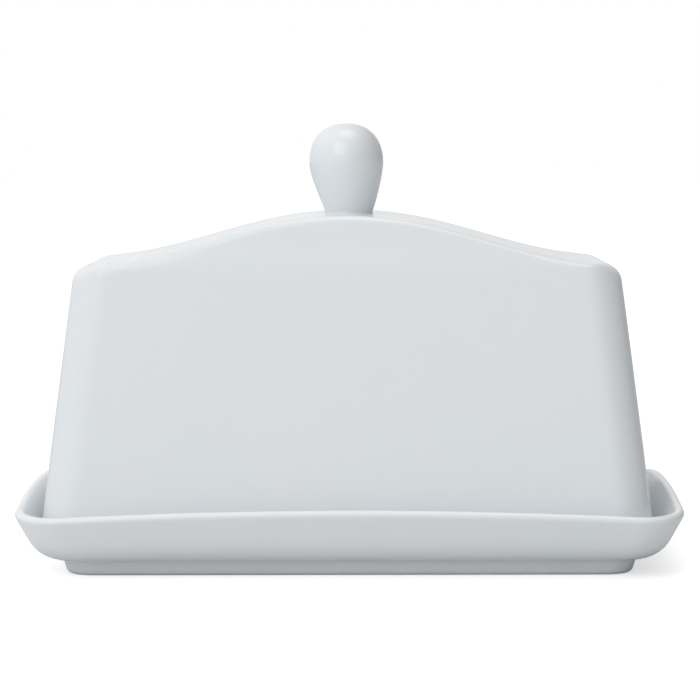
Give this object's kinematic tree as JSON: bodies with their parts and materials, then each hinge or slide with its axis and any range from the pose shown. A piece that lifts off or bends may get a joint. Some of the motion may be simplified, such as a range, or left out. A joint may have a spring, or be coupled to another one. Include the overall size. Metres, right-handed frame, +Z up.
{
  "type": "butter dish",
  "caption": "Rectangular porcelain butter dish: a shallow footed dish with an arched rim, and a tall tapered lift-off cover with a curved crest and a pear-shaped knob.",
  "frame": {"origin": "under the middle of the dish, on the plane its foot ring stands on", "axes": "+X along the long side, +Y across the short side, +Z up through the knob"},
  "size_m": [0.178, 0.116, 0.1204],
  "materials": {
    "dish_glaze": "white porcelain under a smooth glossy glaze, bare and matt on the foot ring",
    "cover_glaze": "white porcelain under a smooth glossy glaze, bare and matt on the standing edge",
    "knob_glaze": "white porcelain under a smooth glossy glaze"
  },
  "bodies": {
    "dish": {"dish": "dish_glaze"},
    "cover": {"cover_shell": "cover_glaze", "cover_knob": "knob_glaze"}
  },
  "joints": [
    {"name": "cover_lift", "type": "slide", "parent": "dish", "child": "cover", "axis": [0, 0, 1], "range_m": [0, 0.1]}
  ]
}
